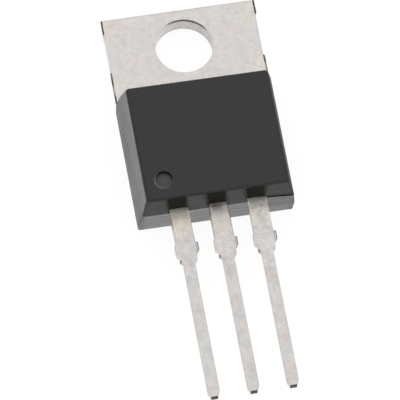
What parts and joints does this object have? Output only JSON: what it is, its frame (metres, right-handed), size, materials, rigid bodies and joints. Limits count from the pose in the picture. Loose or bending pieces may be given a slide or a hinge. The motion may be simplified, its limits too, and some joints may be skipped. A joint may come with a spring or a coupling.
{
  "type": "voltage regulator",
  "caption": "Tabbed power transistor style regulator: black moulded case on a drilled tinned metal tab, with flat stepped leads in a row.",
  "frame": {"origin": "middle of the mounting hole, in the plane of the bare metal back of the tab", "axes": "+Z out of the front of the case, +Y towards the free edge of the tab, the leads run to -Y, +X completes the frame"},
  "size_m": [0.0102, 0.0281, 0.0045],
  "materials": {
    "epoxy": "fine matte moulding compound, mineral filled",
    "tinned_copper": "copper stamping under dull tin plate, bare copper on the sheared ear edges",
    "silicon": "polished silicon chip",
    "solder": "reflowed soft solder",
    "bond_wire": "drawn aluminium wire"
  },
  "bodies": {
    "root": {"moulded_case": "epoxy", "tab_and_ground_lead": "tinned_copper", "input_lead": "tinned_copper", "output_lead": "tinned_copper", "silicon_die": "silicon", "die_attach_solder": "solder", "input_wire": "bond_wire", "output_wire": "bond_wire", "ground_wire": "bond_wire"}
  },
  "joints": []
}
